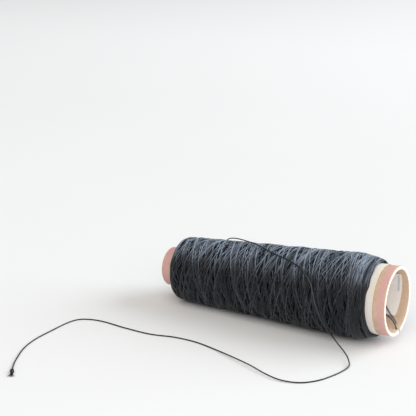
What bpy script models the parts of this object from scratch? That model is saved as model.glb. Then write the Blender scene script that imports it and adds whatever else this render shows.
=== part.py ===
"""A cone of thread that lies on its side, with its loose end laid out on the surface it lies on.

The thread is cross-wound on a tapered paper tube. The tube's axis runs from its small end, the nose,
to its large end, the base, towards +X. It rises by the taper's half angle, so that the underside of the
wound thread lies flat at z = 0. Sizes are in metres, +Z is up, and the origin is at the middle of the
spool's underside.

Places on the spool are given as (along, angle, radius): along the axis from the nose, then degrees
round it from the underside (0) through +Y (90) and the top (180) to -Y (-90), then out from the axis.
"""

import math

import bmesh
import bpy
from mathutils import Matrix, Vector

MM = 0.001

# The paper tube.
TUBE_LENGTH = 170 * MM
NOSE_RADIUS = 13.5 * MM
BASE_RADIUS = 22.5 * MM
OUTER_LINER_WALL = 0.4 * MM
BOARD_WALL = 1.0 * MM
INNER_LINER_WALL = 0.3 * MM
GAP = 0.3 * MM
TUBE_WALL = OUTER_LINER_WALL + GAP + BOARD_WALL + GAP + INNER_LINER_WALL
RIM_LIP = 0.8 * MM  # the board keeps the tube's full thickness this far from each end

# The notch in the large end's rim, which grips the thread's starting end.
NOTCH_ANGLE = 9.5
NOTCH_WIDTH = 2.2 * MM
NOTCH_DEPTH = 3.2 * MM

# The white paper sleeve between the tube and the thread.
SLEEVE_START = 13.0 * MM
SLEEVE_END = 161.9 * MM
SLEEVE_WALL = 0.35 * MM
SLEEVE_GAP = 0.2 * MM

# The wound thread.
THREAD_DIAMETER = 0.8 * MM
PACKAGE_START = 10.4 * MM
PACKAGE_END = 158.0 * MM
PACKAGE_START_RADIUS = 22.16 * MM
PACKAGE_END_RADIUS = 27.9 * MM
NOSE_SHOULDER = (3.0 * MM, 4.5 * MM)  # along, out
BASE_SHOULDER_LENGTH = 12.0 * MM
BASE_FACE = 0.4 * MM
PACKAGE_CLEARANCE = 0.25 * MM  # over the sleeve
FLAT_DEPTH = 0.25 * MM  # the soft winding rests on a narrow flat

# The label inside the bore.
LABEL_FROM_BASE = 5.1 * MM
LABEL_DEPTH = 36.0 * MM
LABEL_ANGLES = (40.0, 132.0)
LABEL_SKEW = 3.0 * MM  # how much nearer the base its upper side is
LABEL_WALL = 0.25 * MM
LABEL_STEPS = 16

# The knot and the frayed tuft at the loose end.
KNOT_SIZE = (5.0 * MM, 2.4 * MM, 2.2 * MM)
KNOT_SEGMENTS = 14
KNOT_RINGS = 8
TUFT_LENGTH = 4.2 * MM
TUFT_WIDTH = 3.2 * MM
TUFT_HEIGHT = 0.9 * MM
TUFT_SEGMENTS = 12
TUFT_LIFT = 0.1 * MM  # over a thread that lies on the surface

SEGMENTS = 60
MERGE_DISTANCE = 0.01 * MM
STARTING_STEP = 2.0 * MM  # between the starting end's points
LOOSE_STEP = 0.8 * MM
LOOSE_SAG = 0.12 * MM  # how far the loose end's chords may leave its curve
LOOSE_LONGEST = 14 * MM
TAPER = math.atan2(PACKAGE_END_RADIUS - PACKAGE_START_RADIUS, PACKAGE_END - PACKAGE_START)
TUBE_TAPER = (BASE_RADIUS - NOSE_RADIUS) / TUBE_LENGTH
REST_HEIGHT = THREAD_DIAMETER / 2 + 0.05 * MM  # a thread's centre where it lies on the surface

# The loose end's route: first over the winding, as (along, angle, centre above the winding's surface)
# in mm, degrees and mm, then down to the surface and along it, as (x, y, z) in mm.
OVER_WINDING = [
    (34, 139, 0.8),
    (39, 150, 0.8),
    (44, 160, 1.1),
    (50, 167, 1.5),
    (56, 172, 1.3),
    (62, 177, 0.9),
    (70, -175, 0.8),
    (79, -164, 0.8),
    (89, -154, 0.8),
    (99, -147, 0.8),
    (109, -138, 0.8),
    (116.5, -127, 0.8),
    (121.5, -116, 0.8),
    (124, -103, 0.8),
    (126, -90, 0.9),
]
ALONG_SURFACE = [
    (43.9, -28.1, 20.0),
    (46.8, -28.6, 15.4),
    (50.0, -28.9, 11.8),
    (54.0, -29.4, 8.3),
    (59.2, -31.8, 5.0),
    (64.8, -35.8, 3.1),
    (69.0, -40.2, 2.2),
    (72.4, -45.2, 1.5),
    (74.3, -50.0, 0.95),
    (73.8, -56.0, 0.55),
    (71.2, -65.8, 0.45),
    (66.4, -76.6, 0.45),
    (58.6, -84.6, 0.5),
    (48.0, -87.7, 0.8),
    (36.5, -85.5, 1.2),
    (23.7, -80.4, 1.5),
    (9.0, -75.1, 1.2),
    (-8.0, -69.3, 0.55),
    (-24.0, -65.8, 0.45),
    (-40.0, -66.3, 0.45),
    (-56.0, -70.2, 0.45),
    (-76.0, -70.2, 0.45),
    (-94.0, -68.8, 0.45),
    (-105.0, -70.5, 0.45),
    (-111.5, -75.0, 0.45),
    (-114.0, -84.0, 0.45),
    (-114.3, -99.0, 0.45),
    (-114.0, -115.0, 0.45),
    (-110.7, -129.8, 0.45),
    (-103.5, -145.0, 0.45),
    (-99.0, -152.5, 0.55),
    (-96.0, -156.6, 0.9),
]
KNOT_CENTRE = Vector((-93.4, -159.9, 1.2)) * MM
KNOT_HEADING = Vector((0.60, -0.80, 0.0)).normalized()

# The starting end's route, as (along, angle, radius) in mm, degrees and mm: out from under the winding,
# through the notch, into the bore, round a small loop and back to the notch.
STARTING_ROUTE = [
    (158.9, -3, 23.4),
    (161.0, 3, 23.3),
    (164.0, 7.5, 23.2),
    (167.0, 9.5, 22.8),
    (168.0, 9.5, 21.5),
    (167.7, 9.8, 19.9),
    (166.9, 14, 19.0),
    (164.6, 23, 18.8),
    (162.6, 29.5, 18.7),
    (159.6, 35, 18.5),
    (156.6, 39.5, 18.3),
    (152.6, 45, 18.0),
    (149.6, 51, 17.9),
    (148.8, 59, 17.8),
    (151.4, 64.5, 17.9),
    (154.8, 60.5, 18.1),
    (157.4, 51, 18.2),
    (159.9, 42.5, 18.1),
    (162.4, 34.5, 17.8),
    (165.0, 26.5, 17.7),
    (166.7, 18, 17.8),
]


def clear_scene():
    for obj in list(bpy.data.objects):
        bpy.data.objects.remove(obj, do_unlink=True)


def new_collection(name):
    collection = bpy.data.collections.new(name)
    bpy.context.scene.collection.children.link(collection)
    return collection


def material(name, colour, roughness, metallic=0.0):
    made = bpy.data.materials.new(name)
    made.use_nodes = True
    shader = made.node_tree.nodes["Principled BSDF"]
    shader.inputs["Base Color"].default_value = (*colour, 1.0)
    shader.inputs["Roughness"].default_value = roughness
    shader.inputs["Metallic"].default_value = metallic
    return made


def tube_radius(along):
    """The tube's outer radius."""
    return NOSE_RADIUS + TUBE_TAPER * along


def package_radius(along):
    """The winding's outer radius, without its rounded shoulders."""
    return PACKAGE_START_RADIUS + math.tan(TAPER) * (along - PACKAGE_START)


def axis_matrix():
    """The spool's own axes: Z along its axis from the nose, X down and Y sideways."""
    half_span = TUBE_LENGTH * math.cos(TAPER) + (BASE_RADIUS - NOSE_RADIUS) * math.sin(TAPER)
    height = package_radius(0.0) * math.cos(TAPER) - FLAT_DEPTH
    turn = Matrix.Rotation(math.pi / 2 - TAPER, 4, "Y")
    return Matrix.Translation((-half_span / 2, 0.0, height)) @ turn


def on_spool(along, angle, radius):
    """A world place from a place on the spool. Its angle is in degrees."""
    turn = math.radians(angle)
    return axis_matrix() @ Vector((radius * math.cos(turn), radius * math.sin(turn), along))


def add_object(name, data, collection, finish=None, parent=None):
    obj = bpy.data.objects.new(name, data)
    collection.objects.link(obj)
    if finish:
        data.materials.append(finish)
    if parent:
        obj.parent = parent
    return obj


def profile_mesh(name, profile, closed):
    """A line of edges in the XZ plane through (along, radius) points."""
    mesh = bpy.data.meshes.new(name)
    count = len(profile)
    edges = [(i, i + 1) for i in range(count - 1)]
    if closed:
        edges.append((count - 1, 0))
    mesh.from_pydata([(radius, 0.0, along) for along, radius in profile], edges, [])
    return mesh


def add_screw(obj, degrees, steps, offset=0.0):
    screw = obj.modifiers.new("Turn", "SCREW")
    screw.angle = math.radians(degrees)
    screw.steps = steps
    screw.render_steps = steps
    screw.screw_offset = offset
    screw.use_merge_vertices = degrees == 360
    screw.merge_threshold = MERGE_DISTANCE
    screw.use_smooth_shade = True


def turned(name, profile, finish, parent, collection):
    """A hollow turned solid. Its profile runs down the outer side from the base, then back up inside."""
    obj = add_object(name, profile_mesh(name, profile, True), collection, finish, parent)
    add_screw(obj, 360, SEGMENTS)
    return obj


def cut(obj, cutter):
    boolean = obj.modifiers.new("Cut " + cutter.name, "BOOLEAN")
    boolean.operation = "DIFFERENCE"
    boolean.solver = "EXACT"
    boolean.object = cutter


def box_cutter(name, size, matrix, collection):
    """A box helper of this size, placed by its matrix."""
    mesh = bpy.data.meshes.new(name)
    cage = bmesh.new()
    bmesh.ops.create_cube(cage, size=1.0, matrix=Matrix.Diagonal((*size, 1.0)))
    cage.to_mesh(mesh)
    cage.free()
    obj = add_object(name, mesh, collection)
    obj.matrix_world = matrix
    obj.display_type = "WIRE"
    obj.hide_render = True
    return obj


def sleeve_profile(start, end, outset, wall):
    """The profile of a plain sleeve whose outer side stands outset over the tube's surface."""
    top, bottom = tube_radius(end) + outset, tube_radius(start) + outset
    return [(end, top), (start, bottom), (start, bottom - wall), (end, top - wall)]


def board_profile():
    """The board between the liners, with a lip of the tube's full thickness at each end."""
    under_outer = OUTER_LINER_WALL + GAP
    over_inner = under_outer + BOARD_WALL
    high, low = TUBE_LENGTH - RIM_LIP, RIM_LIP
    stations = [
        (TUBE_LENGTH, 0.0),
        (high, 0.0),
        (high, under_outer),
        (low, under_outer),
        (low, 0.0),
        (0.0, 0.0),
        (0.0, TUBE_WALL),
        (low, TUBE_WALL),
        (low, over_inner),
        (high, over_inner),
        (high, TUBE_WALL),
        (TUBE_LENGTH, TUBE_WALL),
    ]
    return [(along, tube_radius(along) - inset) for along, inset in stations]


def package_profile(steps=5):
    """The winding: a tapered body, a rounded shoulder at each end, and the hole round the sleeve."""
    hole = SLEEVE_GAP + SLEEVE_WALL + PACKAGE_CLEARANCE
    base_low = tube_radius(PACKAGE_END) + hole + BASE_FACE
    nose_length, nose_drop = NOSE_SHOULDER
    base_along = PACKAGE_END - BASE_SHOULDER_LENGTH
    base_drop = package_radius(base_along) - base_low
    nose_along = PACKAGE_START + nose_length
    nose_low = package_radius(nose_along) - nose_drop
    profile = []
    for i in range(steps + 1):
        turn = math.pi / 2 * i / steps
        profile.append(
            (base_along + BASE_SHOULDER_LENGTH * math.cos(turn), base_low + base_drop * math.sin(turn))
        )
    for i in range(steps + 1):
        turn = math.pi / 2 * (1 - i / steps)
        profile.append((nose_along - nose_length * math.cos(turn), nose_low + nose_drop * math.sin(turn)))
    profile.append((PACKAGE_START, tube_radius(PACKAGE_START) + hole))
    profile.append((PACKAGE_END, tube_radius(PACKAGE_END) + hole))
    return profile


def smooth_curve(points, per_span=24):
    """Dense points on a Catmull-Rom curve through these points."""
    ends = [2 * points[0] - points[1], *points, 2 * points[-1] - points[-2]]
    dense = []
    for before, start, end, after in zip(ends, ends[1:], ends[2:], ends[3:]):
        for i in range(per_span):
            t = i / per_span
            dense.append(
                0.5
                * (
                    2 * start
                    + (end - before) * t
                    + (2 * before - 5 * start + 4 * end - after) * t**2
                    + (3 * start - before - 3 * end + after) * t**3
                )
            )
    dense.append(points[-1].copy())
    return dense


def even_curve(points, spacing):
    """Points this far apart on the smooth curve, both ends kept."""
    dense = smooth_curve(points)
    reach = [0.0]
    for a, b in zip(dense, dense[1:]):
        reach.append(reach[-1] + (b - a).length)
    count = max(2, round(reach[-1] / spacing))
    found, k = [], 0
    for i in range(count + 1):
        target = reach[-1] * i / count
        while k < len(dense) - 2 and reach[k + 1] < target:
            k += 1
        found.append(dense[k].lerp(dense[k + 1], (target - reach[k]) / (reach[k + 1] - reach[k])))
    return found


def thinned(points, sag, longest):
    """Fewer points: each chord leaves the curve by about sag at most, and is no longer than longest."""
    kept, last = [points[0]], 0
    for i in range(1, len(points)):
        start, end = points[last], points[min(i + 1, len(points) - 1)]
        chord = end - start
        line = chord.normalized()
        leave = max(((p - start) - (p - start).dot(line) * line).length for p in points[last : i + 1])
        if i == len(points) - 1 or leave > sag or chord.length > longest:
            kept.append(points[i])
            last = i
    return kept


def thread_tube(name, points, finish, collection):
    """A thread as a plain tube through these points."""
    data = bpy.data.curves.new(name, "CURVE")
    data.dimensions = "3D"
    data.bevel_depth = THREAD_DIAMETER / 2
    data.bevel_resolution = 2
    data.use_fill_caps = True
    spline = data.splines.new("POLY")
    spline.points.add(len(points) - 1)
    for slot, point in zip(spline.points, points):
        slot.co = (*point, 1.0)
    return add_object(name, data, collection, finish)


def loose_route():
    over = [
        on_spool(along * MM, angle, package_radius(along * MM) + lift * MM)
        for along, angle, lift in OVER_WINDING
    ]
    return over + [Vector(point) * MM for point in ALONG_SURFACE]


def starting_route():
    return [on_spool(along * MM, angle, radius * MM) for along, angle, radius in STARTING_ROUTE]


def make_tube(finishes, parent, collection, helpers):
    """The paper tube: board, outer and inner liner, with the notch through all three."""
    liner_start, liner_end = RIM_LIP + GAP, TUBE_LENGTH - RIM_LIP - GAP
    inner_outset = INNER_LINER_WALL - TUBE_WALL
    board = turned("core_board", board_profile(), finishes["board"], parent, collection)
    outer = turned(
        "outer_liner",
        sleeve_profile(liner_start, liner_end, 0.0, OUTER_LINER_WALL),
        finishes["kraft"],
        parent,
        collection,
    )
    inner = turned(
        "inner_liner",
        sleeve_profile(liner_start, liner_end, inner_outset, INNER_LINER_WALL),
        finishes["kraft"],
        parent,
        collection,
    )
    reach = 4 * TUBE_WALL
    centre = Vector((BASE_RADIUS - TUBE_WALL / 2, 0.0, TUBE_LENGTH - NOTCH_DEPTH / 2 + reach / 2))
    place = axis_matrix() @ Matrix.Rotation(math.radians(NOTCH_ANGLE), 4, "Z")
    size = (reach, NOTCH_WIDTH, NOTCH_DEPTH + reach)
    notch = box_cutter("notch_cutter", size, place @ Matrix.Translation(centre), helpers)
    for piece in (board, outer, inner):
        cut(piece, notch)


def make_sleeve(finishes, parent, collection):
    profile = sleeve_profile(SLEEVE_START, SLEEVE_END, SLEEVE_GAP + SLEEVE_WALL, SLEEVE_WALL)
    turned("white_sleeve", profile, finishes["white_paper"], parent, collection)


def make_package(finishes, parent, collection, helpers):
    """The wound thread, with the narrow flat that it rests on."""
    package = turned("thread_package", package_profile(), finishes["thread"], parent, collection)
    side = 4 * PACKAGE_END_RADIUS
    place = Matrix.Translation((0.0, 0.0, -side / 2))
    floor = box_cutter("rest_cutter", (2 * TUBE_LENGTH, side, side), place, helpers)
    cut(package, floor)


def make_label(finishes, parent, collection):
    """The label in the bore: a strip turned part of the way round, a little askew."""
    start = TUBE_LENGTH - LABEL_FROM_BASE - LABEL_SKEW / 2
    inset = TUBE_WALL + GAP
    stations = (start, start - LABEL_DEPTH / 2, start - LABEL_DEPTH)
    profile = [(along, tube_radius(along) - inset) for along in stations]
    label = add_object(
        "inner_label",
        profile_mesh("inner_label", profile, False),
        collection,
        finishes["white_paper"],
        parent,
    )
    low, high = LABEL_ANGLES
    label.rotation_euler = (0.0, 0.0, math.radians(low))
    add_screw(label, high - low, LABEL_STEPS, LABEL_SKEW)
    thick = label.modifiers.new("Paper", "SOLIDIFY")
    thick.thickness = LABEL_WALL
    thick.offset = -1.0


def make_knot(finishes, collection):
    """The knot near the loose end, as a plain rounded body."""
    mesh = bpy.data.meshes.new("tail_knot")
    ball = bmesh.new()
    bmesh.ops.create_uvsphere(ball, u_segments=KNOT_SEGMENTS, v_segments=KNOT_RINGS, radius=0.5)
    bmesh.ops.scale(ball, vec=KNOT_SIZE, verts=ball.verts)
    ball.to_mesh(mesh)
    ball.free()
    mesh.shade_smooth()
    knot = add_object("tail_knot", mesh, collection, finishes["thread"])
    knot.location = KNOT_CENTRE
    knot.rotation_euler = (0.0, 0.0, math.atan2(KNOT_HEADING.y, KNOT_HEADING.x))


def make_tuft(finishes, collection):
    """The frayed fibres past the knot, as a low widening body."""
    mesh = bpy.data.meshes.new("frayed_end")
    cone = bmesh.new()
    bmesh.ops.create_cone(
        cone,
        cap_ends=True,
        segments=TUFT_SEGMENTS,
        radius1=THREAD_DIAMETER / 2,
        radius2=TUFT_WIDTH / 2,
        depth=TUFT_LENGTH,
    )
    bmesh.ops.rotate(cone, verts=cone.verts, matrix=Matrix.Rotation(math.pi / 2, 3, "Y"))
    bmesh.ops.scale(cone, vec=(1.0, 1.0, TUFT_HEIGHT / TUFT_WIDTH), verts=cone.verts)
    cone.to_mesh(mesh)
    cone.free()
    tuft = add_object("frayed_end", mesh, collection, finishes["thread"])
    reach = KNOT_SIZE[0] / 2 + GAP + TUFT_LENGTH / 2
    place = KNOT_CENTRE + KNOT_HEADING * reach
    tuft.location = (place.x, place.y, REST_HEIGHT + TUFT_LIFT)
    tuft.rotation_euler = (0.0, 0.0, math.atan2(KNOT_HEADING.y, KNOT_HEADING.x))


def main():
    clear_scene()
    spool = new_collection("spool_of_thread")
    helpers = new_collection("helpers")
    finishes = {
        "board": material("board", (0.93, 0.88, 0.80), 0.85),
        "kraft": material("kraft", (0.55, 0.40, 0.27), 0.75),
        "white_paper": material("white_paper", (0.80, 0.77, 0.73), 0.8),
        "thread": material("thread", (0.035, 0.040, 0.050), 0.65),
    }
    axis = bpy.data.objects.new("spool_axis", None)
    spool.objects.link(axis)
    axis.matrix_world = axis_matrix()
    make_tube(finishes, axis, spool, helpers)
    make_sleeve(finishes, axis, spool)
    make_label(finishes, axis, spool)
    make_package(finishes, axis, spool, helpers)
    starting = even_curve(starting_route(), STARTING_STEP)
    thread_tube("starting_tail", starting, finishes["thread"], spool)
    loose = thinned(even_curve(loose_route(), LOOSE_STEP), LOOSE_SAG, LOOSE_LONGEST)
    thread_tube("loose_tail", loose, finishes["thread"], spool)
    make_knot(finishes, spool)
    make_tuft(finishes, spool)


main()
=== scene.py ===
"""The looks of a cone of thread on its side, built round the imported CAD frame.

The winding is one continuous thread, laid pass by pass over a map of how high the thread already stands.
Places on the spool are (along, angle, radius): along the axis from the nose, then degrees round it from
the underside (0) through +Y (90) and the top (180), then out from the axis. These places, the sizes of the
paper, the winding and the label, and both ends' routes are as in the part's source.
"""

import math

import bpy
import numpy as np
from mathutils import Matrix, Vector, noise


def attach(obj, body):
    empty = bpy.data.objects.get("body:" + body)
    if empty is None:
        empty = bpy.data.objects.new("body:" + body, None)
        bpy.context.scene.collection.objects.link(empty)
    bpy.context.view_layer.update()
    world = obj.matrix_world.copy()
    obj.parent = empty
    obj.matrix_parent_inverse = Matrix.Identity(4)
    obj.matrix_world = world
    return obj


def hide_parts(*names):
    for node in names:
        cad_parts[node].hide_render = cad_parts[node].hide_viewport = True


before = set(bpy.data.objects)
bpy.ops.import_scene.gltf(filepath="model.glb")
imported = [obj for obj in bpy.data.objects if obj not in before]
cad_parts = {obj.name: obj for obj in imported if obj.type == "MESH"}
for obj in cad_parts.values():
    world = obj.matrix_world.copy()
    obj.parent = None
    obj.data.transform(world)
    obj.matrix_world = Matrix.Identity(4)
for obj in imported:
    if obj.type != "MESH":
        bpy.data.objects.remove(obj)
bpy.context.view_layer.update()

MM = 0.001
SEED = 41

# The paper tube and its sleeve.
TUBE_LENGTH = 170 * MM
NOSE_RADIUS = 13.5 * MM
BASE_RADIUS = 22.5 * MM
TUBE_WALL = 2.3 * MM
NOTCH_ANGLE = 9.5
NOTCH_WIDTH = 2.2 * MM
NOTCH_DEPTH = 3.2 * MM
NOTCH_FLOOR = TUBE_LENGTH - NOTCH_DEPTH
SLEEVE_START = 13.0 * MM
SLEEVE_END = 161.9 * MM
SLEEVE_WALL = 0.35 * MM
SLEEVE_GAP = 0.2 * MM

# The wound thread.
THREAD_DIAMETER = 0.8 * MM
THREAD_RADIUS = THREAD_DIAMETER / 2
PACKAGE_START = 10.4 * MM
PACKAGE_END = 158.0 * MM
PACKAGE_START_RADIUS = 22.16 * MM
PACKAGE_END_RADIUS = 27.9 * MM
NOSE_SHOULDER = (3.0 * MM, 4.5 * MM)
BASE_SHOULDER_LENGTH = 12.0 * MM
BASE_FACE = 0.4 * MM
PACKAGE_HOLE = 0.8 * MM  # from the tube's surface to the winding
FLAT_DEPTH = 0.25 * MM

# The label in the bore.
LABEL_FROM_BASE = 5.1 * MM
LABEL_DEPTH = 36.0 * MM
LABEL_ANGLES = (40.0, 132.0)
LABEL_SKEW = 3.0 * MM
LABEL_WALL = 0.25 * MM
LABEL_GAP = 0.3 * MM

TAPER = math.atan2(PACKAGE_END_RADIUS - PACKAGE_START_RADIUS, PACKAGE_END - PACKAGE_START)
TUBE_TAPER = (BASE_RADIUS - NOSE_RADIUS) / TUBE_LENGTH

# The loose end's route, as (along mm, angle, mm over the winding), then as world places in mm.
OVER_WINDING = [
    (34, 139, 0.8), (39, 150, 0.8), (44, 160, 1.1), (50, 167, 1.5),
    (56, 172, 1.3), (62, 177, 0.9), (70, -175, 0.8), (79, -164, 0.8),
    (89, -154, 0.8), (99, -147, 0.8), (109, -138, 0.8), (116.5, -127, 0.8),
    (121.5, -116, 0.8), (124, -103, 0.8), (126, -90, 0.9),
]
ALONG_SURFACE = [
    (43.9, -28.1, 20.0), (46.8, -28.6, 15.4), (50.0, -28.9, 11.8), (54.0, -29.4, 8.3),
    (59.2, -31.8, 5.0), (64.8, -35.8, 3.1), (69.0, -40.2, 2.2), (72.4, -45.2, 1.5),
    (74.3, -50.0, 0.95), (73.8, -56.0, 0.55), (71.2, -65.8, 0.45), (66.4, -76.6, 0.45),
    (58.6, -84.6, 0.5), (48.0, -87.7, 0.8), (36.5, -85.5, 1.2), (23.7, -80.4, 1.5),
    (9.0, -75.1, 1.2), (-8.0, -69.3, 0.55), (-24.0, -65.8, 0.45), (-40.0, -66.3, 0.45),
    (-56.0, -70.2, 0.45), (-76.0, -70.2, 0.45), (-94.0, -68.8, 0.45), (-105.0, -70.5, 0.45),
    (-111.5, -75.0, 0.45), (-114.0, -84.0, 0.45), (-114.3, -99.0, 0.45), (-114.0, -115.0, 0.45),
    (-110.7, -129.8, 0.45), (-103.5, -145.0, 0.45), (-99.0, -152.5, 0.55), (-96.0, -156.6, 0.9),
]
HIGHLIGHT_REACH = 108 * MM  # where the loose end's painted highlight is brightest, down the front of the winding
HIGHLIGHT_SPREAD = 26 * MM
KNOT_CENTRE = Vector((-93.4, -159.9, 1.2)) * MM
KNOT_HEADING = Vector((0.60, -0.80, 0.0)).normalized()

# The starting end's route, as (along mm, angle, radius mm).
STARTING_ROUTE = [
    (158.9, -3, 23.4), (161.0, 3, 23.3), (164.0, 7.5, 23.2), (167.0, 9.5, 22.8),
    (168.0, 9.5, 21.5), (167.7, 9.8, 19.9), (166.9, 14, 19.0), (164.6, 23, 18.8),
    (162.6, 29.5, 18.7), (159.6, 35, 18.5), (156.6, 39.5, 18.3), (152.6, 45, 18.0),
    (149.6, 51, 17.9), (148.8, 59, 17.8), (151.4, 64.5, 17.9), (154.8, 60.5, 18.1),
    (157.4, 51, 18.2), (159.9, 42.5, 18.1), (162.4, 34.5, 17.8), (165.0, 26.5, 17.7),
    (166.7, 18, 17.8),
]

# The twisted thread's look.
THREAD_SHADE = 0.5  # of the knot and the starting end
PLIES = 3
PLY_DEPTH = 0.12  # how deep the grooves between plies are, as a share of the radius
PLY_PITCH = 2.6 * MM
CORD_SIDES = 12
CORD_STEP = 0.4 * MM

# The knot, as (forward, sideways, up) in mm from where it rests on the surface.
KNOT_ROUTE = [
    (-4.4, -0.1, 0.87), (-3.9, -0.06, 0.87), (-3.2, 0.0, 0.66), (-2.5, 0.05, 0.45),
    (-1.7, -0.45, 0.42), (-0.6, -0.80, 0.75), (0.6, -0.85, 1.10), (1.6, -0.55, 0.75),
    (2.05, 0.05, 0.42), (1.5, 0.70, 0.55), (0.4, 0.90, 0.90), (-0.8, 0.60, 1.25),
    (-1.65, -0.10, 1.25), (-1.75, -0.85, 0.85), (-0.9, -1.05, 0.50), (0.0, -0.45, 0.42),
    (0.8, 0.10, 0.75), (1.7, 0.10, 1.20), (2.7, 0.0, 1.00),
]
TUFT_PLY_RADIUS = 0.21 * MM
TUFT_PLY_LENGTH = 3.6 * MM
TUFT_PLY_SPREADS = (-0.55, 0.05, 0.6)
TUFT_FIBRES = 90
FIBRE_RADIUS = 0.045 * MM
FIBRE_SIDES = 5
FIBRE_TIP = 0.35  # a fibre's radius at its far end, as a share
FIBRE_SHADE = 0.55
STRAY_FIBRES = 900  # on the winding
STRAY_RADIUS = 0.035 * MM
STRAY_LENGTHS = (0.5, 1.9)  # mm
STRAY_STANDS = (0.15, 0.75)  # mm, how far they stand out
STRAY_ROOT = 0.3 * MM  # how deep they start

# The winding. Its bed lies this far under the part's surface, and the thread is laid on the bed.
BED_DEPTH = 2.5 * MM
LEVEL = -0.35 * MM  # of the strands' mean top over the part's surface
BASE_TUCK = 0.8 * MM  # how much lower it is at the large end's edge
BASE_TUCK_LENGTH = 13 * MM
SWELL = 0.6 * MM  # how far the winding's surface rises and falls
SWELL_SIZE = 8.0 * MM
TAIL_BED = 2.2 * MM  # how wide the loose end presses into the winding
TAIL_PRESS = 0.7 * MM  # how deep it presses at most
TAIL_LIFT = 0.4 * MM  # of the loose end over its route in the part, as strands stand out of that surface
TAIL_TUCK = 1.4 * MM  # how far under that route it starts, between the strands
TAIL_REACH = 5  # rows of the height map on either side that hold the loose end up
COLUMNS = 160  # of the height map, round the spool
ROW = 0.2 * MM  # of the height map, along the surface
LEVEL_SPAN = 2.5 * MM  # the mean top is taken over this much to either side
SWELL_STEP = 5  # rows from one sample of the swell to the next
MEAN_RADIUS = 25 * MM
STRAND_SIDES = 6
STRAND_KEEP = 3  # every third sample becomes a ring of the mesh
STRAND_FLATNESS = 0.9
RIBBON_PASSES = 34  # pairs of passes laid side by side in ribbons, which make the even mat
LOOSE_PASSES = 25  # pairs of passes laid over them, each on its own
RIBBON_SHADES = (0.05, 0.7, 0.12, 0.38, 0.08, 0.85, 0.2)
LOOSE_SHADES = (0.05, 0.3, 0.6, 1.0)
RIBBON_SIZES = (2, 6)  # passes in a ribbon, the second one left out
RIBBON_GAPS = (1.0, 1.9)  # from strand to strand, in thread widths
TURNS = 3.6  # round the spool from one end to the other
LOOSE_TURNS = (0.7, 0.9, 1.0, 1.15, 1.5)  # times those turns
CROSSING_ANGLE = 15  # degrees between a strand and a circle round the spool
GOLDEN_SHARE = 0.618  # of a turn, which spreads the loose passes evenly
TOP_HEIGHT = 3.0 * MM  # of the highest strand's centre over the bed
SETTLE = 0.86  # how much of the height under it a strand keeps
TOUCH = 0.75  # the share of its radius over which a strand rests on what is under it
BEND = np.array([1, 3, 5, 6, 5, 3, 1]) / 24  # how a stiff strand's height is shared along it
SHOULDER_ROWS = {"base": (0.4 * MM, 13.0 * MM), "nose": (0.4 * MM, 9.0 * MM)}
EDGE_WANDER = 0.8 * MM  # of a strand's row while it turns back
EDGE_MARGIN = 0.3 * MM
DWELL = (0.1, 0.8)  # turns that a strand spends at the nose before it heads back
EASE = 0.2  # turns over which a pass gathers speed
SLOWEST = 0.04  # its least speed, as a share
WANDER_WAVES = (1.3, 3.1, 6.7)  # per pass
FADE = 10  # samples over which a pass takes up its own height
STRAND_PIECES = 2
BED_STEP = 6  # rows of the height map between the rings of the bed's mesh
BED_SHADE = 0.15
GROUND_GAP = 0.1 * MM

# The paper's finer shape.
LATHE_STEP = 3.0  # degrees
RUFFLE_SCALES = (260.0, 310.0)
SHARP_ANGLE = math.radians(40)
NEARLY = 1e-9
LAYER_INSET = 0.4 * MM  # of the kraft layers from the tube's ends
LAYER_ROUNDING = 0.12 * MM
LABEL_CELLS = (18, 40)
LABEL_WAVE = 0.12 * MM
LABEL_WAVE_SCALE = 90.0

# The prints, in mm along the tube or across the label, and in shares of the label's length.
TUBE_RINGS = [(1.7, 5.6), (165.1, 168.4)]
OUTER_SEAM_PITCH = 62.0
BORE_SEAM_PITCH = 48.0
PULP_LAYER = 0.42
STRIP_START = (1.4, 1.6)
STRIP_END = (2.7, 3.0)
BARS_START = (0.50, 0.56)
BARS_END = (0.94, 0.97)
BARS = 24

# The floor, the camera and the lights.
FLOOR_SIZE = 24.0
CAMERA_AZIMUTH = 31.398
CAMERA_ELEVATION = 15.625
CAMERA_DISTANCE = 0.9415
CAMERA_TARGET = Vector((-0.1828, 0.2095, 0.0))
CAMERA_LENS = 86.54
CAMERA_SENSOR = 36.0
WORLD_COLOUR = (1.0, 0.985, 0.965, 1.0)
WORLD_STRENGTH = 0.43
LIGHTS = [  # name, place, size, power and colour of each, and all look at the origin
    ("window", Vector((5.7, 4.5, 3.3)), 7.0, 765.0, (0.88, 0.95, 1.0)),
    ("front", Vector((1.1, -4.8, 6.3)), 7.4, 305.0, (1.0, 0.95, 0.88)),
    ("fill", Vector((2.0, -1.2, 0.9)), 1.8, 13.0, (1.0, 0.975, 0.945)),
]


# -------- places on the spool


def tube_radius(along):
    return NOSE_RADIUS + TUBE_TAPER * along


def package_radius(along):
    return PACKAGE_START_RADIUS + math.tan(TAPER) * (along - PACKAGE_START)


def axis_matrix():
    """The spool's own axes: Z along its axis from the nose, X down and Y sideways."""
    half_span = TUBE_LENGTH * math.cos(TAPER) + (BASE_RADIUS - NOSE_RADIUS) * math.sin(TAPER)
    height = package_radius(0.0) * math.cos(TAPER) - FLAT_DEPTH
    turn = Matrix.Rotation(math.pi / 2 - TAPER, 4, "Y")
    return Matrix.Translation((-half_span / 2, 0.0, height)) @ turn


AXIS = axis_matrix()
AXIS_TURN = np.array(AXIS.to_3x3())
AXIS_START = np.array(AXIS.translation)


def on_spool(along, angle, radius):
    turn = math.radians(angle)
    return AXIS @ Vector((radius * math.cos(turn), radius * math.sin(turn), along))


def spool_points(along, turn, radius):
    """World places for whole arrays of places on the spool, with angles in radians."""
    local = np.stack([radius * np.cos(turn), radius * np.sin(turn), along + 0 * turn], axis=-1)
    return local @ AXIS_TURN.T + AXIS_START


# -------- curves


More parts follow.
